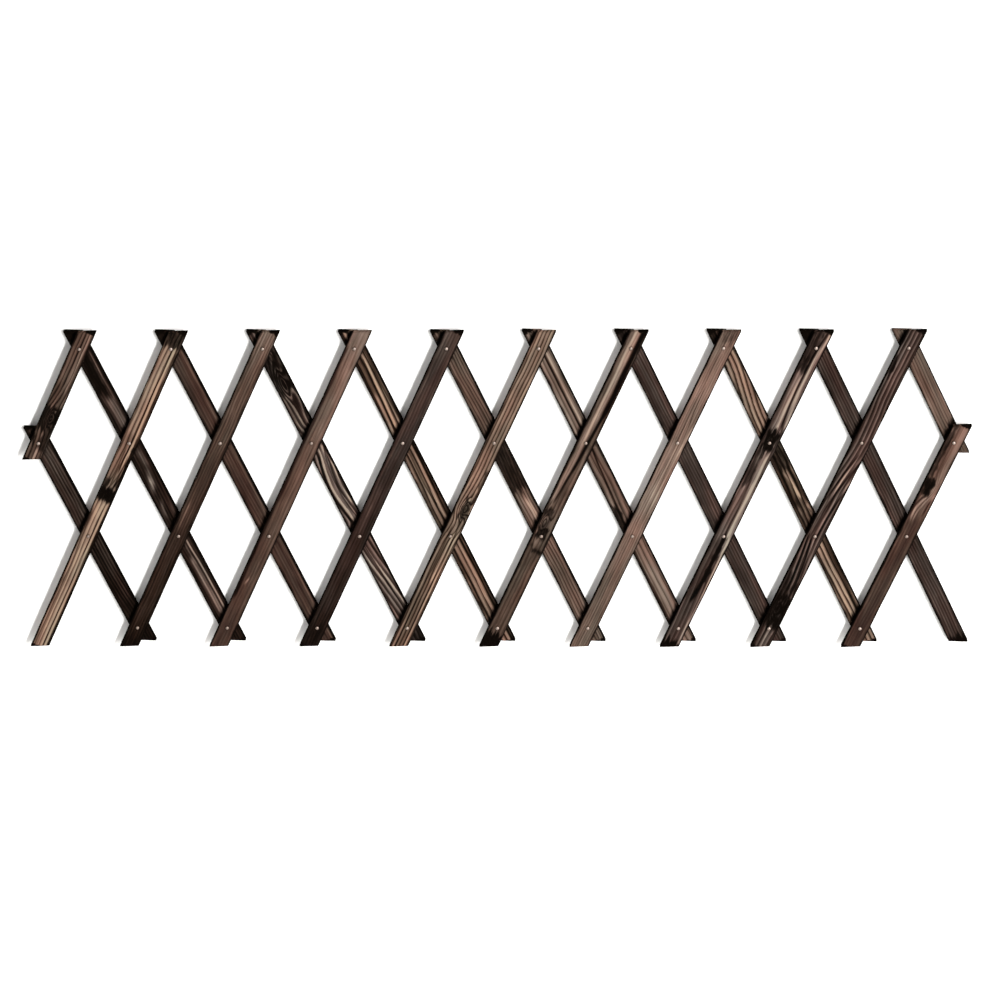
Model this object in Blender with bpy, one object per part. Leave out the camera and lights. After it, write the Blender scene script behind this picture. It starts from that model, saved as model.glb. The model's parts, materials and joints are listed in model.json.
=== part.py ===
"""Expandable wooden trellis: two layers of flat slats, riveted wherever they cross.

Standalone Blender script, in metres with +Z up. The wall is the plane y = 0 and the
trellis hangs in front of it, towards -Y. The origin is on the wall behind the centre
rivet, the pin that the whole fold turns about.

The lattice has four rows of rivets. A rivet's place is a column and a row: columns are
half a diamond apart and count from the left end, rows count from the bottom.
"""

import math

import bmesh
import bpy
from mathutils import Vector

# Slats
SLAT_WIDTH = 0.0215
SLAT_THICKNESS = 0.010
RIVET_PITCH = 0.135
SLAT_ARRIS = 0.0008
HOLE_PANEL_HALF_LENGTH = 0.009

# How far a slat runs past its last rivet: more at its foot, less at a short back slat's inner end
FRONT_OVERHANG = 0.024
FRONT_FOOT_OVERHANG = 0.028
BACK_OVERHANG = 0.0215
BACK_FOOT_OVERHANG = 0.024
BACK_INNER_OVERHANG = 0.019

# Rivets
RIVET_HEAD_RADIUS = 0.0022
RIVET_HEAD_HEIGHT = 0.0010
RIVET_SHANK_RADIUS = 0.0013
RIVET_CLINCH_RADIUS = 0.0026
RIVET_CLINCH_THICKNESS = 0.0008

# Clearances
LAYER_GAP = 0.0004
HEAD_GAP = 0.0003
CLINCH_GAP = 0.0003
SHANK_CLEARANCE = 0.0003
HOLE_CUTTER_OVERRUN = 0.002

# Fold: the angle of every slat above the horizontal, as hung
REST_ANGLE = math.radians(65.25)

# Lattice
SLATS_PER_LAYER = 11
CENTRE_COLUMN = 10
CENTRE_ROW = 2
ROW_NAMES = ("bottom", "lower", "upper", "top")
TOP_ROW = len(ROW_NAMES) - 1
FULL_SPAN = (0, TOP_ROW)
FRONT_SHORT_SPANS = {0: (CENTRE_ROW, TOP_ROW), SLATS_PER_LAYER - 1: (0, CENTRE_ROW)}
FRONT_PIVOT_ROWS = (3, 3, 3, 3, 3, 2, 1, 0, 0, 0, 0)

# Rivets made in one piece with their front slat, as (front slat, row)
JOINED_RIVETS = {(1, 1), (10, 1)}

# Smoothness
ROUND_SIDES = 12
DOME_RINGS = 2
SMOOTH_ANGLE = math.radians(40)
MERGE_DISTANCE = 1e-6

# Finishes, as the lightest to the darkest char on the wood, and the bright rivet
WOOD_ROUGHNESS = 0.62
METAL_ROUGHNESS = 0.34
TONES = {
    "tan_wood": "7a6353",
    "brown_wood": "65503f",
    "red_brown_wood": "5f463a",
    "dark_wood": "44342d",
    "charred_wood": "2e2521",
}
METAL_COLOUR = "cfc2b4"
FRONT_TONES = (
    "brown_wood",
    "tan_wood",
    "brown_wood",
    "red_brown_wood",
    "dark_wood",
    "tan_wood",
    "brown_wood",
    "brown_wood",
    "dark_wood",
    "dark_wood",
    "red_brown_wood",
)
BACK_TONES = (
    "charred_wood",
    "charred_wood",
    "red_brown_wood",
    "dark_wood",
    "tan_wood",
    "brown_wood",
    "brown_wood",
    "dark_wood",
    "tan_wood",
    "dark_wood",
    "brown_wood",
)


# Places worked out from the sizes above
COLUMN_STEP = RIVET_PITCH * math.cos(REST_ANGLE)
ROW_STEP = RIVET_PITCH * math.sin(REST_ANGLE)
CLINCH_INNER_Y = -RIVET_CLINCH_THICKNESS
BACK_SLAT_REAR_Y = CLINCH_INNER_Y - CLINCH_GAP
BACK_SLAT_FACE_Y = BACK_SLAT_REAR_Y - SLAT_THICKNESS
FRONT_SLAT_REAR_Y = BACK_SLAT_FACE_Y - LAYER_GAP
FRONT_SLAT_FACE_Y = FRONT_SLAT_REAR_Y - SLAT_THICKNESS
HEAD_INNER_Y = FRONT_SLAT_FACE_Y - HEAD_GAP
HEAD_TOP_Y = HEAD_INNER_Y - RIVET_HEAD_HEIGHT
HOLE_RADIUS = (RIVET_SHANK_RADIUS + SHANK_CLEARANCE) / math.cos(math.pi / ROUND_SIDES)


def clear_scene():
    for obj in list(bpy.data.objects):
        bpy.data.objects.remove(obj, do_unlink=True)


def linear_from_hex(code):
    """Linear RGBA of an sRGB hex colour."""
    channels = [int(code[k : k + 2], 16) / 255 for k in (0, 2, 4)]
    return [
        c / 12.92 if c <= 0.04045 else ((c + 0.055) / 1.055) ** 2.4 for c in channels
    ] + [1.0]


def make_material(name, code, roughness, metallic):
    material = bpy.data.materials.new(name)
    material.use_nodes = True
    shader = material.node_tree.nodes["Principled BSDF"]
    shader.inputs["Base Color"].default_value = linear_from_hex(code)
    shader.inputs["Roughness"].default_value = roughness
    shader.inputs["Metallic"].default_value = metallic
    return material


def add_object(name, mesh, material=None):
    obj = bpy.data.objects.new(name, mesh)
    bpy.context.scene.collection.objects.link(obj)
    if material and not mesh.materials:
        mesh.materials.append(material)
    return obj


def hide_helper(obj):
    obj.hide_render = True
    obj.display_type = "WIRE"


def mesh_from(bm, name):
    bmesh.ops.remove_doubles(bm, verts=bm.verts, dist=MERGE_DISTANCE)
    bmesh.ops.recalc_face_normals(bm, faces=bm.faces)
    mesh = bpy.data.meshes.new(name)
    bm.to_mesh(mesh)
    bm.free()
    return mesh


def smooth_round(mesh):
    mesh.shade_smooth()
    mesh.set_sharp_from_angle(angle=SMOOTH_ANGLE)


def turned_mesh(name, profile):
    """Closed solid turned about the Y axis from (radius, y) points that start and end on it."""
    bm = bmesh.new()
    points = [bm.verts.new((radius, y, 0)) for radius, y in profile]
    edges = [bm.edges.new(pair) for pair in zip(points, points[1:])]
    bmesh.ops.spin(
        bm,
        geom=points + edges,
        axis=(0, 1, 0),
        cent=(0, 0, 0),
        angle=2 * math.pi,
        steps=ROUND_SIDES,
        use_merge=True,
    )
    mesh = mesh_from(bm, name)
    smooth_round(mesh)
    return mesh


def dome_profile():
    """(radius, y) of the head's cap of a sphere, from its rim to just short of its crown."""
    sphere = (RIVET_HEAD_RADIUS**2 + RIVET_HEAD_HEIGHT**2) / (2 * RIVET_HEAD_HEIGHT)
    rim_angle = math.asin(RIVET_HEAD_RADIUS / sphere)
    angles = [rim_angle * (1 - ring / DOME_RINGS) for ring in range(DOME_RINGS)]
    crown_drops = [sphere * (1 - math.cos(angle)) for angle in angles]
    return [
        (sphere * math.sin(angle), HEAD_TOP_Y + drop)
        for angle, drop in zip(angles, crown_drops)
    ]


def rivet_mesh():
    """Domed head at the front, shank through both slats, clinched end flat on the wall."""
    profile = [
        (0, 0),
        (RIVET_CLINCH_RADIUS, 0),
        (RIVET_CLINCH_RADIUS, CLINCH_INNER_Y),
        (RIVET_SHANK_RADIUS, CLINCH_INNER_Y),
        (RIVET_SHANK_RADIUS, HEAD_INNER_Y),
        *dome_profile(),
        (0, HEAD_TOP_Y),
    ]
    return turned_mesh("rivet", profile)


def slat_span(layer, index):
    """Lowest and highest row that the slat reaches. The back layer mirrors the front one."""
    mirrored = index if layer == "front" else SLATS_PER_LAYER - 1 - index
    return FRONT_SHORT_SPANS.get(mirrored, FULL_SPAN)


def slat_column(layer, index, row):
    """Column where the slat's centre line passes a row: front slats lean right, back left."""
    if layer == "front":
        return 2 * (index - 1) + row
    return 2 * (index + 1) - row


def crossings():
    """Every rivet as (front slat, back slat, column, row), row by row from the bottom left."""
    found = []
    for row in range(len(ROW_NAMES)):
        for front in range(SLATS_PER_LAYER):
            back = front - 2 + row
            spans = slat_span("front", front), slat_span("back", back)
            if 0 <= back < SLATS_PER_LAYER and all(
                low <= row <= high for low, high in spans
            ):
                found.append((front, back, slat_column("front", front, row), row))
    return found


def lattice_point(column, row, y):
    x = (column - CENTRE_COLUMN) * COLUMN_STEP
    return Vector((x, y, (row - CENTRE_ROW) * ROW_STEP))


def pivot_row(layer, index):
    rows = FRONT_PIVOT_ROWS if layer == "front" else FRONT_PIVOT_ROWS[::-1]
    return rows[index]


def slat_lean(layer):
    """Angle of the slat's length from +X, turned towards +Z."""
    return REST_ANGLE if layer == "front" else math.pi - REST_ANGLE


def along_slat(layer, index, row):
    """Distance along the slat from its pivot to the rivet of a row."""
    return (row - pivot_row(layer, index)) * RIVET_PITCH


def end_overhang(layer, row):
    """How far a slat of the layer runs past its last rivet, on that row."""
    if row == 0:
        return FRONT_FOOT_OVERHANG if layer == "front" else BACK_FOOT_OVERHANG
    if layer == "front":
        return FRONT_OVERHANG
    return BACK_INNER_OVERHANG if row == CENTRE_ROW else BACK_OVERHANG


def slat_mesh(name, ends, holes, skew):
    """Flat bar along local X with level ends, its faces parted into panels at each rivet.

    skew is how far an end runs along X for each unit across the slat, along Z.
    """
    half_width = SLAT_WIDTH / 2
    stations = [(ends[0], skew)]
    for hole in sorted(holes):
        stations.append((hole - HOLE_PANEL_HALF_LENGTH, 0))
        stations.append((hole + HOLE_PANEL_HALF_LENGTH, 0))
    stations.append((ends[1], skew))
    bm = bmesh.new()
    rear_y = SLAT_THICKNESS / 2
    rows = [
        [bm.verts.new((x + s * z, rear_y, z)) for z in (-half_width, half_width)]
        for x, s in stations
    ]
    strip = [
        bm.faces.new((a[0], b[0], b[1], a[1])) for a, b in zip(rows, rows[1:])
    ]
    raised = bmesh.ops.extrude_face_region(bm, geom=strip)
    moved = [item for item in raised["geom"] if isinstance(item, bmesh.types.BMVert)]
    bmesh.ops.translate(bm, vec=(0, -SLAT_THICKNESS, 0), verts=moved)
    bmesh.ops.recalc_face_normals(bm, faces=bm.faces)
    mark_arrises(bm)
    mesh = bpy.data.meshes.new(name)
    bm.to_mesh(mesh)
    bm.free()
    return mesh


def mark_arrises(bm):
    """Gives a bevel weight to the edges along the slat's four long corners."""
    weight = bm.edges.layers.float.new("bevel_weight_edge")
    for edge in bm.edges:
        ends = edge.verts
        along = abs(ends[0].co.y - ends[1].co.y) < MERGE_DISTANCE
        same_side = ends[0].co.z * ends[1].co.z > 0
        if along and same_side:
            edge[weight] = 1.0


def hole_cutter(name, holes):
    """Cylinders across the slat's thickness, one at each hole."""
    reach = SLAT_THICKNESS / 2 + HOLE_CUTTER_OVERRUN
    bm = bmesh.new()
    for hole in holes:
        corners = [2 * math.pi * k / ROUND_SIDES for k in range(ROUND_SIDES)]
        ring = [
            bm.verts.new(
                (hole + HOLE_RADIUS * math.cos(a), reach, HOLE_RADIUS * math.sin(a))
            )
            for a in corners
        ]
        raised = bmesh.ops.extrude_face_region(bm, geom=[bm.faces.new(ring)])
        moved = [v for v in raised["geom"] if isinstance(v, bmesh.types.BMVert)]
        bmesh.ops.translate(bm, vec=(0, -2 * reach, 0), verts=moved)
    return add_object(name, mesh_from(bm, name))


def layer_middle_y(layer):
    face_y = FRONT_SLAT_FACE_Y if layer == "front" else BACK_SLAT_FACE_Y
    return face_y + SLAT_THICKNESS / 2


def rivet_rows(layer, index):
    place = 0 if layer == "front" else 1
    return [crossing[3] for crossing in crossings() if crossing[place] == index]


def add_bevel(obj):
    bevel = obj.modifiers.new("arris", "BEVEL")
    bevel.width = SLAT_ARRIS
    bevel.segments = 1
    bevel.limit_method = "WEIGHT"
    bevel.offset_type = "OFFSET"


def add_boolean(obj, helper, operation):
    boolean = obj.modifiers.new(helper.name, "BOOLEAN")
    boolean.operation = operation
    boolean.object = helper
    helper.parent = obj
    hide_helper(helper)


def slat_name(layer, index):
    return f"{layer}_slat_{index + 1:02d}"


def add_slat(layer, index, materials):
    """One slat, its origin on the rivet that it turns about."""
    name = slat_name(layer, index)
    low, high = slat_span(layer, index)
    ends = (
        along_slat(layer, index, low) - end_overhang(layer, low),
        along_slat(layer, index, high) + end_overhang(layer, high),
    )
    joined = {row for front, row in JOINED_RIVETS if (layer, index) == ("front", front)}
    holes = [
        along_slat(layer, index, row)
        for row in rivet_rows(layer, index)
        if row not in joined
    ]
    skew = -1 / math.tan(slat_lean(layer))
    tones = FRONT_TONES if layer == "front" else BACK_TONES
    slat = add_object(name, slat_mesh(name, ends, holes, skew), materials[tones[index]])
    row = pivot_row(layer, index)
    column = slat_column(layer, index, row)
    slat.location = lattice_point(column, row, layer_middle_y(layer))
    slat.rotation_euler.y = -slat_lean(layer)
    add_bevel(slat)
    add_boolean(slat, hole_cutter(f"{name}_holes", holes), "DIFFERENCE")
    return slat


def rivet_name(row, number):
    return f"rivet_{ROW_NAMES[row]}_{number:02d}"


def place_on_slat(rivet, slat, index, row):
    """Carries the rivet on its front slat, level with the lattice."""
    rivet.parent = slat
    rivet.location = (along_slat("front", index, row), -layer_middle_y("front"), 0)


def add_rivets(front_slats, metal):
    """A rivet at every crossing: its own piece, or made in one with its front slat."""
    mesh = rivet_mesh()
    mesh.materials.append(metal)
    for row in range(len(ROW_NAMES)):
        on_row = sorted(c for c in crossings() if c[3] == row)
        for number, (front, _, column, _) in enumerate(on_row, start=1):
            name = rivet_name(row, number)
            slat = front_slats[front]
            if (front, row) in JOINED_RIVETS:
                helper = add_object(f"{name}_joined", mesh)
                place_on_slat(helper, slat, front, row)
                add_boolean(slat, helper, "UNION")
                continue
            rivet = add_object(name, mesh)
            if (column, row) == (CENTRE_COLUMN, CENTRE_ROW):
                rivet.location = lattice_point(column, row, 0)
            else:
                place_on_slat(rivet, slat, front, row)


def build():
    clear_scene()
    woods = {
        name: make_material(name, code, WOOD_ROUGHNESS, 0.0)
        for name, code in TONES.items()
    }
    metal = make_material("rivet_metal", METAL_COLOUR, METAL_ROUGHNESS, 1.0)
    front_slats = [add_slat("front", k, woods) for k in range(SLATS_PER_LAYER)]
    for k in range(SLATS_PER_LAYER):
        add_slat("back", k, woods)
    add_rivets(front_slats, metal)


build()
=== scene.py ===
"""Looks of the expandable wooden trellis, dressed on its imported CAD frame.

Metres, +Z up. The wall is the plane y = 0 and the trellis hangs in front of it, towards -Y.
A rivet's place is a column and a row: columns are half a diamond apart and count from the
left end, rows count from the bottom. Every slat is a bar of charred, brushed pine, and every
rivet is a plated pin with a domed head.
"""

import json
import logging
import math
from dataclasses import dataclass, field
from enum import Enum

import bpy
import numpy as np
from mathutils import Matrix, Vector

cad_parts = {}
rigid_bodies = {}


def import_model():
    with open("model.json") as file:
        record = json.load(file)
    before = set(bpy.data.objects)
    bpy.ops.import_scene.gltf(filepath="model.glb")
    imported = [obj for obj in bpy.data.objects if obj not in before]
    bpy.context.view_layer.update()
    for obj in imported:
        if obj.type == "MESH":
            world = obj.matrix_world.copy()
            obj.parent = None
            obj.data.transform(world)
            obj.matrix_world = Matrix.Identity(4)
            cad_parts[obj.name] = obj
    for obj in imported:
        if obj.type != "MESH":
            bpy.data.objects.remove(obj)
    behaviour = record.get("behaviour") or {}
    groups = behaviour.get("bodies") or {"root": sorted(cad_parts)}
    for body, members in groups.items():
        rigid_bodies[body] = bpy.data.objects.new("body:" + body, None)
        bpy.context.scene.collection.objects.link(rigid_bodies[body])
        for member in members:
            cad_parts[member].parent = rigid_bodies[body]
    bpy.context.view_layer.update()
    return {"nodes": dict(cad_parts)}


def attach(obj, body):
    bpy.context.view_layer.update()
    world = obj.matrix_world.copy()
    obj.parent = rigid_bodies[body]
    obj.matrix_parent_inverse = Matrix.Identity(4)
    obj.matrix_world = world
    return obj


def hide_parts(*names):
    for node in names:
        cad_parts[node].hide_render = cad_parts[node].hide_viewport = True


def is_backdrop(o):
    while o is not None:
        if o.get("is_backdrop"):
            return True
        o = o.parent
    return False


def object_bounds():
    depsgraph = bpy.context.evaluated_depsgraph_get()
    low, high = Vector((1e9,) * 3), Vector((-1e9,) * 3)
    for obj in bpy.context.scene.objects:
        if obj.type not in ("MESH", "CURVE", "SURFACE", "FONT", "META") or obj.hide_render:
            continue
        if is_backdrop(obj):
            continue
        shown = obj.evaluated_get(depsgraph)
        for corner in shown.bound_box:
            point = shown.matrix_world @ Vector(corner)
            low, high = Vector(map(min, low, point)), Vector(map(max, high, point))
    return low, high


LOG = logging.getLogger("trellis")
MM = 0.001

Array = np.ndarray
Pair = tuple[float, float]
Triple = tuple[float, float, float]
Colour = tuple[float, float, float, float]
Socket = bpy.types.NodeSocket
Tree = bpy.types.NodeTree


class Layer(Enum):
    """The two layers of slats."""

    FRONT = "front"
    BACK = "back"


# Colours and nodes


def linear(code: str) -> Colour:
    """Turns an sRGB hex colour to linear.

    Args:
        code: Six hex digits.

    Returns:
        Linear red, green, blue and an alpha of 1.
    """
    channels = [int(code[k : k + 2], 16) / 255 for k in (0, 2, 4)]
    red, green, blue = (
        c / 12.92 if c <= 0.04045 else ((c + 0.055) / 1.055) ** 2.4 for c in channels
    )
    return red, green, blue, 1.0


def grey(level: float) -> Colour:
    """A ramp colour that stands for a plain number."""
    return level, level, level, 1.0


def add_node(
    tree: Tree,
    kind: str,
    inputs: dict[str | int, object] | None = None,
    stops: list[tuple[float, Colour]] | None = None,
    **settings: object,
) -> bpy.types.Node:
    """Adds a node with its settings and links.

    Args:
        tree: The node tree that it goes into.
        kind: The node's type name.
        inputs: What each input gets, another node's output or a plain value.
        stops: Positions and colours of a colour ramp.
        **settings: The node's own properties.

    Returns:
        The new node.
    """
    node = tree.nodes.new(kind)
    for name, value in settings.items():
        setattr(node, name, value)
    for socket, value in (inputs or {}).items():
        if isinstance(value, Socket):
            tree.links.new(value, node.inputs[socket])
        else:
            node.inputs[socket].default_value = value
    for number, (position, colour) in enumerate(stops or []):
        elements = node.color_ramp.elements
        element = elements[number] if number < len(elements) else elements.new(position)
        element.position = position
        element.color = colour
    return node


def reckon(tree: Tree, operation: str, *inputs: object) -> Socket:
    """Adds a maths node and gives its result."""
    return add_node(tree, "ShaderNodeMath", dict(enumerate(inputs)), operation=operation).outputs[0]


def noise(tree: Tree, place: Socket, scale: float, detail: float) -> Socket:
    """Adds a noise over a place and gives its value, from 0 to 1."""
    inputs = {"Vector": place, "Scale": scale, "Detail": detail}
    return add_node(tree, "ShaderNodeTexNoise", inputs).outputs["Fac"]


def between(tree: Tree, amount: object, low: object, high: object, kind: str = "MIX") -> Socket:
    """Adds a mix of two colours and gives its result."""
    inputs = {0: amount, 6: low, 7: high}
    return add_node(tree, "ShaderNodeMix", inputs, data_type="RGBA", blend_type=kind).outputs[2]


def ranged(tree: Tree, value: Socket, kind: str = "LINEAR", **limits: float) -> Socket:
    """Adds a map from one range to another, its limits given as from_min and so on."""
    inputs = {name.replace("_", " ").title(): limit for name, limit in limits.items()}
    inputs["Value"] = value
    return add_node(tree, "ShaderNodeMapRange", inputs, interpolation_type=kind).outputs[0]


def attribute(tree: Tree, name: str, channel: str = "Fac") -> Socket:
    """Adds a node that reads one of the mesh's attributes and gives its output."""
    return add_node(tree, "ShaderNodeAttribute", attribute_name=name).outputs[channel]


def new_material(name: str) -> tuple[bpy.types.Material, Tree, bpy.types.Node]:
    """A new material, its node tree and its shader."""
    material = bpy.data.materials.new(name)
    material.use_nodes = True
    return material, material.node_tree, material.node_tree.nodes["Principled BSDF"]


def dress(
    tree: Tree,
    shader: bpy.types.Node,
    colour: Socket,
    rough: Socket,
    height: Socket,
    relief: Pair,
) -> None:
    """Links a finish's channels to its shader.

    Args:
        tree: The material's node tree.
        shader: Its shader.
        colour: The base colour.
        rough: The roughness.
        height: The height that the bump follows.
        relief: The bump's strength, and its depth in metres.
    """
    inputs = {"Height": height, "Strength": relief[0], "Distance": relief[1]}
    bump = add_node(tree, "ShaderNodeBump", inputs).outputs[0]
    for name, value in (("Base Color", colour), ("Roughness", rough), ("Normal", bump)):
        tree.links.new(value, shader.inputs[name])


# Finishes


@dataclass(frozen=True)
class CharredPine:
    """Softwood slat, torch-charred and then wire-brushed.

    The flame blackens the soft early wood and the brush takes most of that off again, so the
    eye sees tan and dark lines along the grain, black patches where the brush didn't reach,
    and a matt face that is ridged along its growth rings.
    """

    slot: str
    palette: tuple[str, ...]
    ring_levels: tuple[float, ...]
    # Colours of the char, which also paint the shade and shadow laid into the char channel
    soot_and_shade: tuple[str, str] = ("040302", "0c0806")

    # Sizes of the pattern in metres: a fibre bundle is drawn 0.7 mm wide, because single
    # fibres of 0.03 mm are too fine to show
    fibre_size: Triple = (0.028, 0.0007, 0.0007)
    mottle_size: Triple = (0.045, 0.0045, 0.0045)
    scorch_size: Triple = (0.016, 0.0024, 0.0024)
    blush_size: Triple = (0.070, 0.012, 0.012)

    # How far fibres fray the rings, where in a ring its levels lie, and how long good and poor
    # years last
    fray: float = 0.35
    ring_places: tuple[float, ...] = (0.0, 0.35, 0.6, 0.82, 0.94, 1.0)
    years_scale: float = 0.7
    years_gain: float = 0.35
    fibre_gain: float = 0.3
    mottle_gain: float = 0.3
    scorch_gain: float = 0.5
    relief: Pair = (0.6, 0.00025)

    # The flame leaves some places redder and some greyer
    cool: Colour = (0.97, 1.05, 1.05, 1.0)
    warm: Colour = (1.12, 0.98, 0.95, 1.0)

    def build(self) -> bpy.types.Material:
        """Makes the material.

        The grain attribute holds a point's place in its board, ring the count of growth rings from the
        pith, and figure the tone, the char and the strength of the rings. The char also carries painted
        shade and painted shadow, which darken towards the same black.

        Returns:
            The finished material.
        """
        material, tree, shader = new_material(f"charred_pine_{self.slot}")
        figure = attribute(tree, "figure", "Vector")
        tone, char, strength = add_node(tree, "ShaderNodeSeparateXYZ", {0: figure}).outputs
        grain = attribute(tree, "grain", "Vector")
        noises = []
        for size, detail in (
            (self.fibre_size, 3.0),
            (self.mottle_size, 2.0),
            (self.scorch_size, 3.0),
            (self.blush_size, 1.0),
        ):
            inputs = {0: grain, 1: tuple(1 / length for length in size)}
            scaled = add_node(tree, "ShaderNodeVectorMath", inputs, operation="MULTIPLY")
            noises.append(noise(tree, scaled.outputs[0], 1.0, detail))
        fibre, mottle, scorch, blush = noises

        # Growth rings
        frayed = reckon(tree, "MULTIPLY_ADD", fibre, self.fray, attribute(tree, "ring"))
        turn = reckon(tree, "FRACT", frayed)
        levels = [(place, grey(level)) for place, level in zip(self.ring_places, self.ring_levels)]
        profile = add_node(tree, "ShaderNodeValToRGB", {"Fac": turn}, levels).outputs["Color"]
        inputs = {"W": frayed, "Scale": self.years_scale, "Detail": 1.0}
        years = add_node(tree, "ShaderNodeTexNoise", inputs, noise_dimensions="1D").outputs["Fac"]

        # Lightness: the board's own tone, its rings, good and poor years, fibres and a slow mottle
        centred = reckon(tree, "SUBTRACT", profile, 0.5)
        value = reckon(tree, "MULTIPLY_ADD", centred, strength, tone)
        for source, gain in (
            (years, self.years_gain),
            (fibre, self.fibre_gain),
            (mottle, self.mottle_gain),
        ):
            value = reckon(tree, "MULTIPLY_ADD", reckon(tree, "SUBTRACT", source, 0.5), gain, value)
        count = len(self.palette) - 1
        shades = [(k / count, linear(code)) for k, code in enumerate(self.palette)]
        wood = add_node(tree, "ShaderNodeValToRGB", {"Fac": value}, shades).outputs["Color"]
        warmth = ranged(tree, blush, from_min=0.34, from_max=0.66)
        tint = between(tree, warmth, self.cool, self.warm)
        tinted = between(tree, 1.0, wood, tint, "MULTIPLY")

        # Char: patches and bands with a torn edge. The same channel carries painted shade on the slats'
        # edges and rivet rings and a painted shadow on the back slats.
        torn = reckon(tree, "MULTIPLY_ADD", scorch, self.scorch_gain, char)
        burnt_and_shaded = ranged(tree, torn, "SMOOTHSTEP", from_min=0.42, from_max=1.08)
        colour = between(tree, burnt_and_shaded, tinted, between(tree, fibre, *map(linear, self.soot_and_shade)))

        # Brushed ridges: the rings stand proud of the early wood, with fibres on both
        ridges = reckon(tree, "MULTIPLY_ADD", fibre, 0.5, profile)
        rough = ranged(tree, value, to_min=0.78, to_max=0.58)
        dress(tree, shader, colour, rough, ridges, self.relief)
        shader.inputs["IOR"].default_value = 1.45
        # Brushed char scatters the mirror part of its reflection
        shader.inputs["Specular IOR Level"].default_value = 0.0
        return material


# Lightness through one growth ring, from early wood to late wood
BROAD_TAN = (0.8, 0.95, 0.6, 0.06, 0.0, 0.8)
BROAD_DARK = (0.05, 0.25, 0.85, 1.0, 0.6, 0.05)
EVEN = (0.35, 0.5, 0.65, 0.7, 0.3, 0.35)

FINISHES = {
    slot: CharredPine(slot, tuple(shades.split()), levels)
    for slot, shades, levels in (
        ("tan_wood", "070503 1b120c 291e18 392d24 504137 68554a 857260", BROAD_TAN),
        ("brown_wood", "070504 1a120d 281e19 382d26 4f4139 67554c 847365", BROAD_TAN),
        ("red_brown_wood", "080504 1b110d 291d19 392c25 504038 68544b 857163", EVEN),
        ("dark_wood", "060504 1a120e 271e1b 362c27 4d403b 64554e 837568", BROAD_DARK),
        ("charred_wood", "060403 18110d 261d19 342b26 4b3f39 61534b 7f7266", BROAD_DARK),
    )
}


@dataclass(frozen=True)
class PlatedRivet:
    """Nickel-plated steel rivet, cold-headed.

    The eye sees a small bright dome with fine scratches and a little brown tarnish. Its plate colour is
    warmed by a painted reflection of the wood round it, and its rim is darkened by sooty tarnish and
    painted shade.
    """

    # Plate colour with a painted reflection of the warm wood round it
    plate_and_reflection: str = "94867d"
    tarnish: str = "453326"
    stain_size: float = 0.0012
    scratch_size: float = 0.0004
    relief: Pair = (0.25, 0.00003)

    def build(self) -> bpy.types.Material:
        """Makes the material. The wear attribute holds how tarnished each place is, with painted shade
        added towards the rim.
        """
        material, tree, shader = new_material("nickel_plated_steel")
        place = add_node(tree, "ShaderNodeTexCoord").outputs["Object"]
        stain = noise(tree, place, 1 / self.stain_size, 2.0)
        scratch = noise(tree, place, 1 / self.scratch_size, 2.0)
        worn_and_shaded = reckon(tree, "MULTIPLY_ADD", stain, 0.5, attribute(tree, "wear"))
        amount = ranged(tree, worn_and_shaded, from_min=0.3, from_max=1.1)
        # Plate colour with its painted reflection, darkened towards tarnish and painted rim shade
        colour = between(tree, amount, linear(self.plate_and_reflection), linear(self.tarnish))
        rough = ranged(tree, scratch, to_min=0.34, to_max=0.5)
        dress(tree, shader, colour, rough, scratch, self.relief)
        shader.inputs["Metallic"].default_value = 1.0
        return material


# Sizes of the lattice


@dataclass(frozen=True)
class Lattice:
    """The trellis's driving sizes in metres, as the CAD has them, and what follows from them."""

    slat_width: float = 0.0215
    slat_thickness: float = 0.010
    rivet_pitch: float = 0.135
    front_overhang: float = 0.024
    front_foot_overhang: float = 0.028
    back_overhang: float = 0.0215
    back_foot_overhang: float = 0.024
    back_inner_overhang: float = 0.019
    lean: float = math.radians(65.25)
    slats: int = 11
    rows: int = 4
    centre_column: int = 10
    centre_row: int = 2
    front_middle_y: float = -0.0165
    back_middle_y: float = -0.0061

    def point(self, column: float, row: float, y: float) -> Array:
        """The place of a lattice crossing at a depth."""
        x = (column - self.centre_column) * self.rivet_pitch * math.cos(self.lean)
        z = (row - self.centre_row) * self.rivet_pitch * math.sin(self.lean)
        return np.array((x, y, z))

    def span(self, layer: Layer, index: int) -> tuple[int, int]:
        """Lowest and highest row that a slat reaches: the first and the last one are short."""
        mirrored = index if layer is Layer.FRONT else self.slats - 1 - index
        top = self.rows - 1
        short = {0: (self.centre_row, top), self.slats - 1: (0, self.centre_row)}
        return short.get(mirrored, (0, top))

    def overhang(self, layer: Layer, row: int) -> float:
        """How far a slat of the layer runs past its last rivet, on that row."""
        if layer is Layer.FRONT:
            return self.front_overhang if row else self.front_foot_overhang
        inner = self.back_inner_overhang if row == self.centre_row else self.back_overhang
        return inner if row else self.back_foot_overhang

    def column(self, layer: Layer, index: int, row: float) -> float:
        """Column where a slat's centre line passes a row: front slats lean right, back left."""
        if layer is Layer.FRONT:
            return 2 * (index - 1) + row
        return 2 * (index + 1) - row

    def crossings(self, row: int) -> list[tuple[int, int]]:
        """Front slat and back slat of each rivet in a row, from the left.

        Args:
            row: The row's number.

        Returns:
            Pairs of slat numbers, counted from 0.
        """
        kept = []
        for front in range(self.slats):
            back = front - 2 + row
            if 0 <= back < self.slats:
                spans = self.span(Layer.FRONT, front), self.span(Layer.BACK, back)
                if all(low <= row <= high for low, high in spans):
                    kept.append((front, back))
        return kept


# What each board looks like: rows for places along it, millimetres from its centre line to
# the right for places across it


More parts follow.
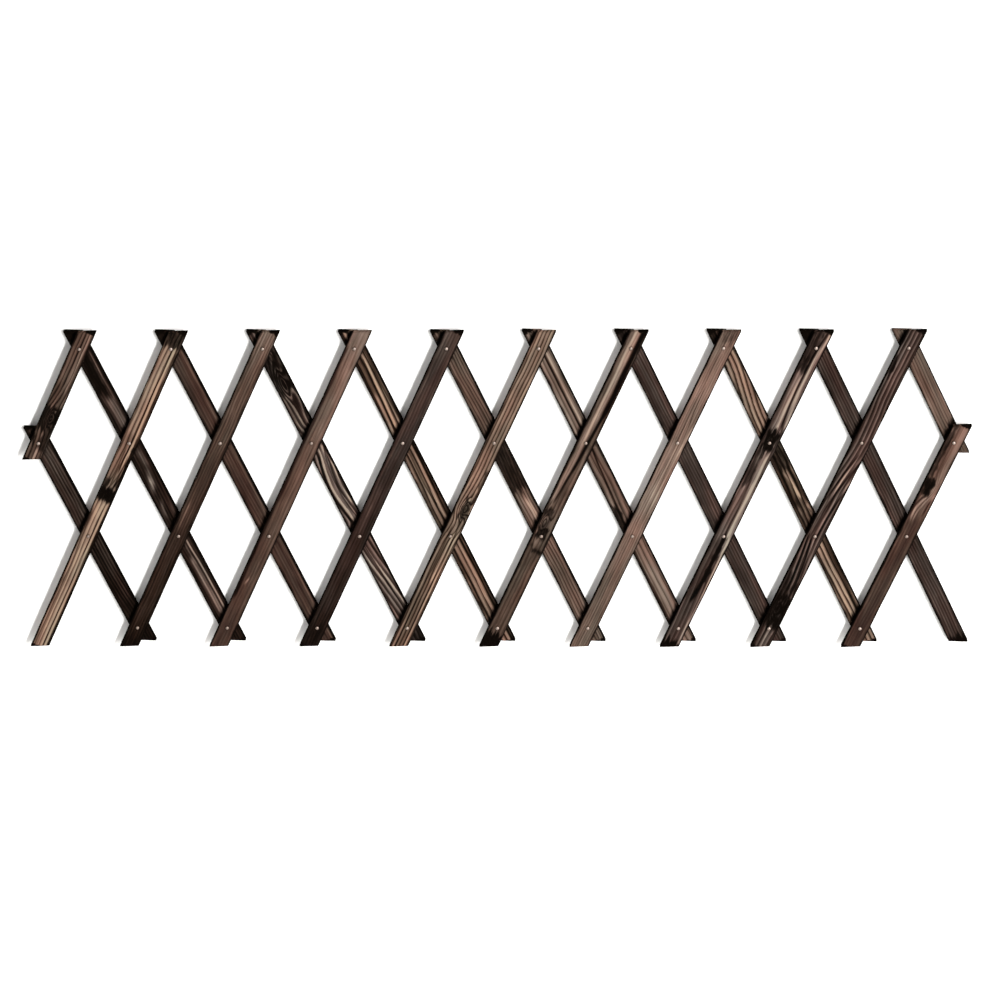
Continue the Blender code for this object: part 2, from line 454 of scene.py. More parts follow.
@dataclass(frozen=True)
class Streak:
    """A lighter or darker line along the grain, from one row to a higher one.

    across is where it lies at its low row and end where it lies at its high row, and halfway it
    is bow millimetres right of the straight line between them.
    """

    low: float
    high: float
    across: float
    end: float
    width: float
    lift: float
    bow: float = 0.0
    taper: Pair = (0.04, 0.06)

    def lift_at(self, row: Array, across: Array) -> Array:
        """How much it lightens each place: a bell across the board, held between its rows.

        Args:
            row: Rows of the places.
            across: Millimetres from the centre line.

        Returns:
            What it adds to the tone.
        """
        share = np.clip((row - self.low) / (self.high - self.low), 0, 1)
        middle = self.across + (self.end - self.across) * share + 4 * self.bow * share * (1 - share)
        bell = np.exp(-(np.abs((across - middle) / self.width) ** 3))
        outer, inner = self.taper
        held = smooth_step(self.low - outer, self.low + inner, row)
        held *= 1 - smooth_step(self.high - inner, self.high + outer, row)
        return self.lift * bell * held


@dataclass(frozen=True)
class Burn:
    """A patch that the brush left black, between two rows, its ends more or less ragged."""

    low: float
    high: float
    across: float = 0.0
    width: float = 26.0
    depth: float = 1.0
    ragged: float = 1.0

    # Height of the flames at its ends in rows and their width in millimetres, how soft those
    # ends are, how far its sides waver over what length, where they fade, and its full char
    flames: tuple[Pair, ...] = ((0.035, 9.0), (0.02, 3.0))
    softness: float = 0.035
    waver: Pair = (1.3, 26.0)
    side_softness: Pair = (-2.5, 1.5)
    black: float = 0.85

    def char_at(
        self, row: Array, along: Array, across: Array, drifted: Array, seed: int, number: int
    ) -> Array:
        """How black it makes each place.

        Args:
            row: Rows of the places.
            along: Millimetres along the board.
            across: Millimetres from its centre line.
            drifted: The same from the line that the figure follows.
            seed: The board's seed.
            number: The burn's place among the board's marks.

        Returns:
            Char from 0 to 1.
        """
        inside = np.ones(len(row))
        for side, limit in enumerate((self.low, self.high)):
            reach = row
            for step, (height, width) in enumerate(self.flames):
                chance = seed + 31 + 40 * step + 2 * number + side
                reach = reach + self.ragged * height * wave(across, width, chance)
            past = smooth_step(limit - self.softness, limit + self.softness, reach)
            inside *= 1 - past if side else past
        height, length = self.waver
        beside = np.abs(drifted - self.across) - self.width / 2
        beside += height * wave(along, length, seed + 51 + number)
        inside *= 1 - smooth_step(*self.side_softness, beside)
        return self.black * self.depth * inside


@dataclass(frozen=True)
class Knot:
    """A knot that the rings part round, black at its heart."""

    row: float
    across: float
    radius: float
    depth: float = 1.0


@dataclass(frozen=True)
class Board:
    """One slat's figure.

    tone is its lightness from 0 to 1, strength how far its rings differ, spacing their
    distance in millimetres, and pith the tree's centre as millimetres right of the slat's
    centre line and behind it. wander is how far the grain weaves, over its wave's length, and
    course says where else it runs: rows, and millimetres to the right there. end_char is how
    black its cut ends are.
    """

    finish: str
    tone: float
    strength: float
    spacing: float = 3.4
    pith: Pair = (30.0, 8.0)
    wander: Pair = (0.8, 190.0)
    edge: float = 2.4
    fade: float = 0.04
    course: tuple[Pair, ...] = ((0.0, 0.0),)
    end_char: float = 1.0
    marks: tuple[Streak | Burn | Knot, ...] = ()

    def knots(self) -> list[Knot]:
        """Its knots."""
        return [mark for mark in self.marks if isinstance(mark, Knot)]


FRONT_BOARDS = (
    Board("brown_wood", 0.33, 0.5, 4.2, (-34, 8), course=((2, -1), (2.3, -4), (2.7, 0)), marks=(
        Streak(2.55, 3.3, 5, 5.6, 1.3, 0.34), Streak(2.6, 3.3, -4.5, -4.5, 1.4, 0.16),
        Streak(2.6, 3.3, -0.5, 0.5, 1, -0.2), Knot(2.27, 2.5, 5, 0.9), Burn(2.12, 2.4, 0, 26, 0.84),
        Streak(1.8, 1.97, 1, 1.5, 2.6, 0.3), Burn(1.95, 2.1, -9, 8, 0.9), Burn(1.93, 2.2, 5, 13, 0.76, 0.5),
    )),
    Board("tan_wood", 0.76, 0.42, 4.8, (32, 5), edge=2.6, fade=0,
        course=((1.4, -3), (1.62, -2.4), (2, 0)), marks=(
        Burn(3, 3.3, 0, 26, 0.86, 0.5), Streak(1.7, 3.02, 2.2, 2.4, 0.8, -0.62),
        Streak(1.7, 3, 4.8, 5, 1.5, 0.22), Streak(1.6, 3, 7.6, 7.6, 0.6, -0.5),
        Streak(1.5, 2.1, -1, -1, 12, -0.16), Burn(1.37, 1.53, 0, 26, 1, 0.35),
        Burn(1.5, 1.62, -7, 11, 0.8, 0.5), Burn(1.45, 2, 9.4, 7, 0.85),
        Streak(1.52, 1.85, 3, 8.4, 1, -0.6, 2.2), Streak(1.54, 1.9, 0, 5, 0.7, -0.4, 2.2),
        Streak(1.54, 1.95, -4, -1, 0.8, -0.36, 1.4), Streak(1.2, 1.36, 0, 0, 14, 0.1),
        Streak(-0.3, 1.34, 3.2, 3.4, 0.7, -0.4), Streak(-0.3, 1.34, 7.6, 7.6, 0.7, -0.36),
        Streak(-0.3, 0.9, -4.4, -4.4, 0.6, -0.2), Streak(-0.3, 1.34, 5.4, 5.4, 1.2, 0.14),
        Streak(-0.3, 3, 9.8, 9.8, 1.7, -0.6), Streak(-0.3, 1.3, -9.6, -9.6, 1.4, -0.5),
    )),
    Board("brown_wood", 0.345, 0.2, 3.2, (30, 5), edge=3, fade=0.16,
        marks=(Streak(1.05, 1.35, -4, -4, 1.6, 0.2), Burn(-0.3, -0.1, depth=0.6))),
    Board("red_brown_wood", 0.55, 0.16, 3.4, (-28, 5), fade=0.1, end_char=0.3, marks=(
        Streak(0.3, 3, -8.6, -8.6, 1.8, -0.45), Streak(2.4, 2.8, 5, 5, 3, 0.1),
        Streak(0.48, 0.53, -3.4, -1.4, 1.3, 0.7),
    )),
    Board("dark_wood", 0.3, 0.12, 3.2, (25, 8), fade=0.09,
        marks=(Streak(1, 1.35, -3, -3, 2.2, 0.14), Burn(-0.3, 0.05, depth=0.6))),
    Board("tan_wood", 0.54, 0.54, 4.2, (-30, 4), edge=2.3, fade=0.05, end_char=0.2,
        course=((0.9, -1), (1.15, 2), (1.3, -2.5), (1.7, 0)), marks=(
        Streak(1.5, 1.92, 0, 0, 9, 0.06), Knot(1.3, 3.4, 5), Burn(1.17, 1.42, 3, 13, 0.8),
        Burn(1.35, 1.75, 8, 7, 0.72), Streak(0.5, 1.12, 2.6, 2.4, 1.3, 0.34),
        Streak(-0.3, 1.1, 5.6, 7, 1.1, 0.26), Streak(-0.3, 1.1, 4.4, 4.6, 0.9, -0.3),
        Streak(-0.3, 1.1, -4.6, -3, 1, -0.34),
    )),
    Board("brown_wood", 0.48, 0.16, 4, (-24, 8), edge=3, fade=0, marks=(
        Streak(2.5, 3.3, -2, -1.6, 4.2, 0.4), Streak(1.95, 2.52, -3.6, -2, 3.6, 0.36),
        Streak(1.35, 1.97, -7, -3.6, 2.8, 0.3), Streak(2.3, 3.3, 5.6, 6.4, 2.4, -0.62),
        Streak(1.7, 2.32, 0, 5.6, 1.7, -0.6), Streak(1.35, 1.72, -4.4, 0, 1.4, -0.5),
        Streak(1.5, 1.95, 4.5, 6, 2.6, 0.2), Knot(1.13, -2.4, 6.4, 1.1), Burn(1.18, 1.3, -4, 13, 0.8, 0.5),
        Burn(0.96, 1.1, -1, 16, 0.84, 0.5), Streak(1.12, 1.2, -4, -3, 2.4, 0.24),
        Streak(0.89, 0.97, 0, 0, 6, 0.16), Burn(0.82, 0.87, 2.4, 15, 0.95, 0.2),
        Burn(0.86, 0.93, -6.4, 5, 0.9, 0.3), Streak(0, 0.8, -4, -4, 1.2, -0.14), Burn(-0.3, -0.04),
    )),
    Board("brown_wood", 0.67, 0.18, 2.8, (30, 3), edge=2.1, fade=0.02, end_char=0.25, marks=(
        Burn(3.04, 3.3, 1, 18, 0.6), Streak(2.2, 2.6, 3, 0, 0.6, -0.3),
        Streak(1.5, 2.2, -4, -1, 0.6, -0.22), Streak(1.2, 2, 4, 2, 0.6, -0.2),
        Streak(1.9, 2.2, 8, 8, 1.4, 0.2), Streak(1, 2, 0, 0, 13, 0.1), Streak(-0.3, 0.9, 0, 0, 13, -0.05),
    )),
    Board("dark_wood", 0.54, 0.3, 4.4, (-22, 6), edge=2.2, fade=0,
        course=((0, 2), (0.6, -1), (1.2, 0), (2, 1), (2.6, -1)), marks=(
        Burn(2.72, 3.3, -4.5, 12, 0.76), Streak(2.12, 2.75, -1, -2, 4.2, 0.34),
        Streak(2.16, 3.3, 5, 6.4, 1.3, -0.6, -5), Streak(2.16, 3.3, 8.8, 9.6, 1.7, 0.46, -4),
        Knot(2.02, 0, 4.4), Burn(1.9, 2.14, -1, 17, 0.95), Burn(1.52, 1.92, -5, 11, 0.72),
        Streak(1.74, 1.88, -4, -4, 2.6, 0.3), Streak(0.8, 1.9, 6, 4.6, 2.4, 0.38),
        Streak(0.8, 1.6, 1, 0, 1.4, -0.4), Burn(0.5, 1, 2, 8, 0.85, 0.6),
        Streak(0.3, 1.02, -1.4, 1.6, 2.4, -0.55, 1.4), Streak(-0.2, 1, 8.6, 8.2, 1.1, 0.42),
        Streak(-0.3, 0.95, -1, -1, 8, -0.16), Streak(0.95, 1.6, 2, 0, 9, 0.14), Burn(-0.3, -0.12),
    )),
    Board("dark_wood", 0.43, 0.5, 4.8, (-30, 4), wander=(0.6, 150), edge=2.4, fade=0.05,
        course=((0.1, 5), (0.5, 1), (1, -5), (1.4, -3), (2, 4.5), (2.5, 1)), marks=(
        Burn(2.65, 2.9, -8, 7, 0.85), Streak(2.1, 3.3, 0, 0, 12, -0.06),
        Streak(1, 1.88, -10, 3.6, 1, -0.4, -4), Streak(1, 1.86, -7.4, 6.6, 1.6, 0.26, -4),
        Streak(1, 1.83, -4.4, 9.7, 1.1, -0.46, -4), Streak(0.98, 1.62, -0.8, 9, 1.6, 0.26, -2.4),
        Streak(0.98, 1.5, 2.6, 8.4, 0.9, -0.36, -1), Streak(0.42, 1, 5.4, -4.4, 1.2, -0.44, 2),
        Streak(0.5, 1, 8.4, -0.8, 1.4, 0.24, 2), Streak(0.42, 1, -1, -8.4, 1.3, -0.34, 1),
        Knot(0.2, -1, 6, 0.9), Burn(0, 0.38, -1, 24, 0.9), Burn(0.34, 0.5, 5, 10, 0.66),
        Burn(0.28, 0.6, -6, 13, 0.74), Streak(-0.25, -0.02, 1, 1, 3, 0.3),
    )),
    Board("red_brown_wood", 0.51, 0.26, 3.4, (26, 6), fade=0.05, end_char=0.8,
        course=((1.1, 0), (1.35, -3), (1.5, 2), (1.8, 0)), marks=(
        Burn(1.85, 2.3, -7, 8, 0.74), Knot(1.52, -3, 4.6), Burn(1.42, 1.62, -4.4, 14, 0.95, 0.3),
        Burn(1.6, 1.9, -7, 8, 0.7, 0.6), Streak(1.4, 2.2, 5.4, 4, 3.6, 0.24),
        Streak(1.16, 1.43, -5.6, 1, 1.5, 0.36, -3.4), Streak(1.14, 1.43, -2, 4, 1.1, 0.3, -2.6),
        Streak(1.24, 1.4, 5.4, 6.4, 1, -0.34), Streak(1.2, 1.43, -8.4, -3, 1, -0.3, -2.6),
        Streak(-0.3, 1.2, 0, 0, 14, -0.08),
    )),
)

BACK_BOARDS = (
    Board("charred_wood", 0.31, 0.36, 3.6, (-26, 5), edge=2.8, fade=0.13,
        course=((0, 2), (0.8, -2), (1.4, 1.6), (2, 0)), marks=(
        Burn(-0.3, 0.3, depth=0.62), Streak(1.1, 1.9, 5, 1.4, 1.3, 0.18, -2),
        Streak(0.3, 0.9, -5, -4, 3, -0.14),
    )),
    Board("charred_wood", 0.15, 0.2, 3.4, (24, 6), fade=0,
        course=((0, 2), (1, -1), (2, 2), (3, -1)), marks=(
        Burn(3.02, 3.3, depth=0.8), Streak(2.4, 2.95, 7.4, 6.8, 0.9, 0.44), Burn(2.5, 2.95, -2, 14, 0.8),
        Streak(2.1, 2.46, 3, 1, 5.4, 0.56), Streak(1.7, 1.9, 4, 3, 3.8, 0.4),
        Streak(1.45, 1.62, -5, -1.6, 3, 0.46, 1), Streak(1.5, 1.7, 0.4, 2, 3, 0.46),
        Streak(1.18, 1.36, -4, -1, 2.2, 0.42, -1.6), Streak(1.06, 1.3, 4, 7, 2, 0.2),
        Streak(0.05, 0.74, 1, -1.6, 3.4, 0.62), Streak(0.7, 0.9, -0.6, 0.6, 1.6, 0.4),
        Streak(0.05, 0.95, 7.2, 4.4, 1.4, 0.7),
    )),
    Board("red_brown_wood", 0.4, 0.34, 3.4, (28, 6), edge=2.8, fade=0, marks=(
        Burn(3.02, 3.3, depth=0.8), Streak(2, 3, 7.4, 7.4, 1, 0.2), Streak(-0.2, 1.95, 7.6, 7.4, 1, 0.16),
        Streak(-0.2, 3, -6, -6, 3, -0.06),
    )),
    Board("dark_wood", 0.5, 0.72, 5.8, (-34, 3), wander=(0.5, 160), edge=2.4, fade=0,
        course=((0, 8), (1, -6), (1.15, 3), (1.5, -3), (1.95, 5), (2.2, -3), (3, 6)), marks=(
        Burn(2.48, 2.95, depth=0.84), Burn(2.08, 2.6, depth=0.6), Knot(2.6, 3, 9, 0.6),
        Streak(1.12, 1.92, 3.4, 5.8, 3.2, 0.42, -8), Streak(1.12, 1.86, -1.6, 0, 1.6, -0.5, -8),
        Streak(1.12, 1.92, 7.4, 9.6, 0.9, -0.5, -7), Streak(1.3, 1.9, 8.4, 9, 1, 0.4),
        Streak(0.12, 0.94, 8.4, -1.2, 1.8, 0.18, 1.4), Streak(0.12, 0.94, 5.2, -4.4, 0.8, -0.4, 1.4),
        Streak(0.12, 0.8, 1.6, -6, 1.6, 0.1, 1), Streak(2, 2.3, 2, 2, 12, 0.1), Burn(-0.3, 0.02, depth=0.8),
    )),
    Board("tan_wood", 0.5, 0.8, 6.2, (-32, 5), edge=3, fade=0.01,
        course=((0, 0), (1, -1.4), (2, 1.6), (3, 5)), marks=(
        Streak(-0.3, 3.3, 8.4, 8.4, 1.6, -0.5), Streak(2.05, 2.9, -2.4, 3.6, 1.4, 0.24, 1.6),
        Streak(2.05, 2.9, -5.4, 0.6, 1, -0.4, 1.6), Streak(2.5, 2.9, -4.6, -4.6, 3, -0.3),
        Streak(1.1, 1.9, 1, 0, 1, -0.36, -1.4), Streak(0.1, 0.92, -5.6, -5.4, 1.6, -0.24),
        Streak(0.1, 0.92, 0.6, 0.4, 1.8, 0.16),
    )),
    Board("brown_wood", 0.5, 0.34, 3.4, (-22, 6), fade=-0.02,
        course=((1, 0), (1.4, -2), (2, 1), (3, -1)), marks=(
        Burn(1.45, 1.98, depth=0.8), Streak(1.12, 1.4, 2, 0, 4.6, 0.3), Streak(1.15, 1.34, 5, 3, 1.6, 0.24),
    )),
    Board("brown_wood", 0.65, 0.28, 5.4, (24, 8), edge=2.6, fade=0,
        course=((0, 0), (1.2, -1), (1.6, 2), (2.2, -1), (3, 0)), marks=(
        Streak(2, 3, 1, 0.4, 1, -0.66), Streak(2, 3, 4.6, 4.2, 1.3, 0.22),
        Streak(1.2, 2, -3, 2.4, 1.1, -0.5), Streak(1, 2, 0, 0, 14, -0.1), Burn(1.02, 1.34, -6, 11, 0.85),
        Streak(-0.3, 0.95, -8, -8, 1.8, -0.5), Streak(-0.3, 0.95, 1, 1, 5, 0.08),
    )),
    Board("dark_wood", 0.385, 0.24, 3.2, (-26, 6), fade=0.02,
        marks=(Burn(3.02, 3.3, depth=0.7), Streak(2.1, 3, -7, -7, 3, -0.08))),
    Board("tan_wood", 0.55, 0.78, 5.6, (-30, 6), edge=2.4, fade=0.01,
        course=((0, 0), (1, -1), (1.9, 1), (2.1, -6), (2.9, 3.5)), marks=(
        Burn(3.02, 3.3, depth=0.9), Burn(1.66, 2.08, depth=0.84, ragged=0.8), Burn(1.04, 1.4, -2, 20, 0.7),
        Streak(1.3, 1.7, -6, -7, 5, -0.42), Streak(1.3, 1.7, 9.6, 5, 2.6, -0.5),
        Streak(1.36, 1.66, 4.4, -1.8, 1.7, 0.36), Streak(1.3, 1.7, 1, 1, 12, -0.06),
        Streak(0, 0.95, 6.8, 7.4, 2.6, -0.5), Streak(0.1, 0.9, -2.6, -2, 3.2, 0.1),
    )),
    Board("dark_wood", 0.365, 0.28, 3.2, (25, 5), edge=3, fade=0,
        marks=(Burn(3.02, 3.3, depth=0.9), Burn(-0.3, -0.1))),
    Board("brown_wood", 0.53, 0.2, 3.2, (-24, 5), edge=1.6, end_char=0.3),
)


# Surfaces


def closed_skin(stations: tuple[int, ...]) -> tuple[Array, Array]:
    """Closed surface of a block of grid points.

    Each of the six faces is a grid on two of the three axes, and the points that faces share
    along their edges are joined into one.

    Args:
        stations: How many grid points the block has along each axis.

    Returns:
        The grid coordinates of every surface point, and the quads, facing outwards.
    """
    points = []
    quads = []
    start = 0
    for axis in range(3):
        u, v = (axis + 1) % 3, (axis + 2) % 3
        across, along = np.mgrid[: stations[u], : stations[v]]
        index = np.arange(across.size).reshape(across.shape)
        corners = (index[:-1, :-1], index[1:, :-1], index[1:, 1:], index[:-1, 1:])
        loops = np.stack(corners, axis=-1).reshape(-1, 4)
        for side in (0, stations[axis] - 1):
            face = np.full((across.size, 3), side)
            face[:, u] = across.ravel()
            face[:, v] = along.ravel()
            points.append(face)
            quads.append((loops if side else loops[:, ::-1]) + start)
            start += across.size
    merged, inverse = np.unique(np.concatenate(points), axis=0, return_inverse=True)
    return merged, inverse.reshape(-1)[np.concatenate(quads)]


def smooth_step(low: float, high: float, value: Array) -> Array:
    """Rises from 0 at low to 1 at high, as three times the square less twice the cube."""
    share = np.clip((value - low) / (high - low), 0.0, 1.0)
    return share * share * (3 - 2 * share)


def eased(keys: tuple[Pair, ...], place: Array) -> Array:
    """Runs smoothly through heights at given places, level before the first and after the last.

    Args:
        keys: Places, rising, and the height at each.
        place: Where to read it.

    Returns:
        The first height, plus each further step eased in between its two places.
    """
    height = np.full(len(place), float(keys[0][1]))
    for (low, before), (high, after) in zip(keys[:-1], keys[1:]):
        height += (after - before) * smooth_step(low, high, place)
    return height


def wave(place: Array, length: float, seed: int) -> Array:
    """Smooth uneven wave: four sines about the given length, their phases from the seed.

    Args:
        place: Places along the wave, in the length's own unit.
        length: The longest sine's length.
        seed: The random generator's seed.

    Returns:
        Heights, mostly between -1 and 1.
    """
    lengths = length * np.array((1.0, 0.63, 0.41, 0.23))
    heights = np.array((0.55, 0.35, 0.22, 0.12))
    phases = np.random.default_rng(seed).uniform(0, 2 * math.pi, 4)
    angles = 2 * math.pi * place[..., None] / lengths + phases
    return (np.sin(angles) * heights).sum(axis=-1)


def make_object(
    name: str,
    points: Array,
    faces: list[list[int]],
    attributes: dict[str, Array],
    material: bpy.types.Material,
) -> bpy.types.Object:
    """Puts a surface into a smooth-shaded mesh object at the origin.

    Args:
        name: The piece's name.
        points: Its vertices in metres.
        faces: Its faces, outwards.
        attributes: Values for each vertex, one number or three.
        material: Its finish.

    Returns:
        The new object.
    """
    mesh = bpy.data.meshes.new(name)
    mesh.from_pydata(points.tolist(), [], faces)
    for key, values in attributes.items():
        kind, channel = ("FLOAT_VECTOR", "vector") if values.ndim == 2 else ("FLOAT", "value")
        layer = mesh.attributes.new(key, kind, "POINT")
        layer.data.foreach_set(channel, values.astype(np.float32).ravel())
    mesh.materials.append(material)
    mesh.shade_smooth()
    mesh.update()
    piece = bpy.data.objects.new(name, mesh)
    bpy.context.scene.collection.objects.link(piece)
    return piece


# Slats


@dataclass(frozen=True)
class Slat:
    """One slat: a bar with worn arrises, ridged by the brush and cut nearly level at its ends."""

    lattice: Lattice
    layer: Layer
    index: int
    board: Board
    stations: tuple[int, int, int] = (181, 35, 9)

    # Worn arrises: their radius, the angles of their points, and how much and over what length
    # the radius varies
    arris: float = 0.0010
    arris_angles: tuple[float, ...] = (16.0, 31.0, 45.0)
    arris_wear: Pair = (0.2, 0.06)

    # Relief: the width that the saw leaves and the brush takes off again, ridges, slow hollows
    # and their length, dents round the rivets and their radius
    rough: float = 0.0002
    ridge_depth: float = 0.00014
    hollow: Pair = (0.00008, 0.09)
    dent: Pair = (0.00012, 0.0034)

    # End cuts: what each may lack, how far from level they are and how far their slant reaches
    cut_lack: float = 0.0006
    cut_ease: float = math.radians(2.0)
    cut_blend: float = 0.030

    # A knot: how far along and across it parts the grain, in radii, how hard it pushes the
    # grain aside, and how many rings, how much char and how much bolder rings it has
    knot_spread: Pair = (3.4, 1.7)
    knot_push: float = 0.8
    knot_rings: float = 2.5
    knot_char: float = 0.6
    knot_contrast: float = 0.5

    # Char of the long edges, of the arrises and of the ring round a rivet with its radius in millimetres,
    # the ring being char and painted shade where the head meets the wood, and each layer's share of worn,
    # charred edge on its left and on its right, more on the side where the light doesn't reach: that extra
    # is painted shade
    edge_char: float = 0.74
    arris_char: float = 0.9
    rivet_char_and_shade: Pair = (0.5, 2.4)
    front_edges: Pair = (0.95, 1.0)
    back_edges: Pair = (1.4, 0.55)

    # Painted shadow and shade that the front slats cast on the back slats beside them: its depth and reach
    # on their left and on their right
    soot_and_shade: tuple[Pair, Pair] = ((0.8, 0.010), (0.56, 0.004))

    def node(self) -> str:
        """Name of the CAD node and body that the slat stands for."""
        return f"{self.layer.value}_slat_{self.index + 1:02d}"

    def seed(self) -> int:
        """A number of the slat's own for its random waves."""
        return 100 * (self.layer is Layer.BACK) + self.index

    def rivet_rows(self) -> list[int]:
        """The rows where a rivet pins the slat."""
        side = int(self.layer is Layer.BACK)
        crossings = [self.lattice.crossings(row) for row in range(self.lattice.rows)]
        return [row for row, pairs in enumerate(crossings) if self.index in [p[side] for p in pairs]]

    def ends(self) -> Pair:
        """Where the slat starts and stops along its length."""
        sizes = self.lattice
        low, high = sizes.span(self.layer, self.index)
        first = low * sizes.rivet_pitch - sizes.overhang(self.layer, low)
        return first, high * sizes.rivet_pitch + sizes.overhang(self.layer, high)

    def stations_over(self, low: float, high: float, count: int) -> Array:
        """Places over a side of the bar: evenly over its flat, closer over its arrises.

        Args:
            low: Where the side starts.
            high: Where it stops.
            count: How many places the flat has.

        Returns:
            The places in metres.
        """
        flat = np.linspace(low + self.arris, high - self.arris, count)
        over = self.arris * np.tan(np.radians(self.arris_angles))
        return np.concatenate((flat[0] - over[::-1], flat, flat[-1] + over))

    def surface(self) -> tuple[Array, Array]:
        """The bar's skin in its own frame: along it, across it and towards the wall.

        A point of the plain box is drawn to the nearest point of the box that is one arris
        smaller, and set out from there by the arris, which rounds every corner. It is then
        sunk by the ridges of its growth rings and by a dent round each rivet. Near an end it
        slides along the slat by its place across times the cotangent of the cut's angle.

        Returns:
            Vertices in metres, and quads.
        """
        sizes = self.lattice
        chance = np.random.default_rng(self.seed())
        first, last = self.ends()
        first += chance.uniform(0, self.cut_lack)
        last -= chance.uniform(0, self.cut_lack)
        half = (sizes.slat_width / 2 + self.rough, sizes.slat_thickness / 2)
        low = np.array((first, -half[0], -half[1]))
        high = np.array((last, *half))
        sides = [self.stations_over(*limits) for limits in zip(low, high, self.stations)]
        places, quads = closed_skin(tuple(map(len, sides)))
        box = np.stack([side[places[:, axis]] for axis, side in enumerate(sides)], axis=1)

        # Arris
        wear, length = self.arris_wear
        radius = self.arris * (1 - wear + wear * wave(box[:, 0], length, self.seed() + 7))[:, None]
        core = np.clip(box, low + radius, high - radius)
        reach = box - core
        normal = reach / np.linalg.norm(reach, axis=1)[:, None]
        skin = core + normal * radius

        # Relief
        sunk = self.ridge_depth * (0.5 - 0.5 * np.cos(2 * math.pi * (self.rings(skin) % 1.0)))
        depth, length = self.hollow
        sunk += depth * (1 + wave(skin[:, 0] + 3 * skin[:, 1], length, self.seed() + 9))
        depth, radius = self.dent
        for row in self.rivet_rows():
            sunk += depth * np.exp(-((self.from_rivet(skin, row) / radius) ** 2))
        skin -= normal * sunk[:, None]

        # End cuts
        lean = 1 / math.tan(sizes.lean - self.cut_ease)
        slope = lean if self.layer is Layer.FRONT else -lean
        near_low = 1 - smooth_step(0, self.cut_blend, skin[:, 0] - first)
        near_high = 1 - smooth_step(0, self.cut_blend, last - skin[:, 0])
        skin[:, 0] += slope * skin[:, 1] * (near_low + near_high)
        return skin, quads

    def from_rivet(self, skin: Array, row: int) -> Array:
        """How far each place is from the axis of a row's rivet."""
        return np.hypot(skin[:, 0] - row * self.lattice.rivet_pitch, skin[:, 1])

    def from_knot(self, skin: Array, knot: Knot) -> Array:
        """How far each place is from a knot, as a share of its radius, twice as long as wide."""
        away = skin[:, 0] / MM - knot.row * self.lattice.rivet_pitch / MM
        return np.hypot(away / 2, skin[:, 1] / MM - knot.across) / knot.radius

    def rings(self, skin: Array) -> Array:
        """Growth rings counted from the pith.

        The grain weaves along the slat, follows the board's course and parts round its knots.
        The count is the distance from the pith, which runs along with the grain, over the ring
        spacing. A knot adds rings of its own.

        Args:
            skin: Places in the bar's own frame.

        Returns:
            The count of rings at each place.
        """
        board = self.board
        pitch = self.lattice.rivet_pitch
        along, across, deep = skin.T / MM
        height, length = board.wander
        weave = height * wave(along, length, self.seed() + 3)
        line = across - weave - eased(board.course, skin[:, 0] / pitch)
        for knot in board.knots():
            long, wide = (share * knot.radius for share in self.knot_spread)
            away = along - knot.row * pitch / MM
            side = across - knot.across
            near = np.exp(-((away / long) ** 2 + (side / wide) ** 2))
            line -= np.tanh(side / 2) * knot.radius * self.knot_push * near
        count = np.hypot(line - board.pith[0], deep - board.pith[1]) / board.spacing
        for knot in board.knots():
            count += self.knot_rings * np.exp(-(self.from_knot(skin, knot) ** 2))
        return count

    def figure(self, skin: Array) -> Array:
        """Tone, char and ring strength at each place.

        Besides the board's marks, its long edges, its ends and a ring round each rivet are charred. Painted
        shade is laid into the same char: the extra edge char on the side away from the light, part of the
        rivet ring, and on a back slat a painted shadow beside each front slat. Rings are bolder round a
        knot.

        Args:
            skin: Places in the bar's own frame.

        Returns:
            Three numbers for each place.
        """
        board = self.board
        seed = self.seed()
        along, across = skin[:, :2].T / MM
        row = skin[:, 0] / self.lattice.rivet_pitch
        tone = board.tone + board.fade * (row - 1.5) + 0.05 * wave(row, 0.9, seed + 11)
        drifted = across - 0.5 * wave(along, 120.0, seed + 13)
        char = np.zeros(len(skin))
        strength = np.full(len(skin), board.strength)
        for number, mark in enumerate(board.marks):
            if isinstance(mark, Streak):
                tone += mark.lift_at(row, drifted)
            elif isinstance(mark, Burn):
                char = np.maximum(char, mark.char_at(row, along, across, drifted, seed, number))
            else:
                far = self.from_knot(skin, mark)
                char = np.maximum(char, self.knot_char * mark.depth * np.exp(-(far**4)))
                strength += self.knot_contrast * np.exp(-((far / 1.8) ** 2))

        # Edges and ends
        edge = self.lattice.slat_width / 2 / MM - np.abs(across)
        # Edge char reaches further on the side away from the light; that extra is painted shade
        left, right = self.front_edges if self.layer is Layer.FRONT else self.back_edges
        worn_and_shaded = np.maximum(board.edge * (1 + 0.3 * wave(along, 55.0, seed + 17)), 0.9)
        worn_and_shaded *= np.where(across < 0, left, right)
        char = np.maximum(char, self.edge_char * (1 - smooth_step(0.2, 1.5, edge / worn_and_shaded)))
        char = np.maximum(char, self.arris_char * (1 - smooth_step(0.2, 0.8, edge)))
        first, last = self.ends()
        end = np.minimum(skin[:, 0] - first, last - skin[:, 0]) / MM
        char = np.maximum(char, board.end_char * (1 - smooth_step(0.3, 1.5, end)))
        # Painted shadow of the front slats on the back slats, laid into the char
        if self.layer is Layer.BACK:
            char = np.maximum(char, self.painted_shadow(skin))
        # Dark ring round each rivet: char, and painted shade where the head meets the wood
        depth, radius = self.rivet_char_and_shade
        for pinned in self.rivet_rows():
            far = self.from_rivet(skin, pinned) / MM
            char = np.maximum(char, depth * np.exp(-((far - radius) ** 2)))
        return np.stack((tone, char, np.minimum(strength, 1.0)), axis=1)

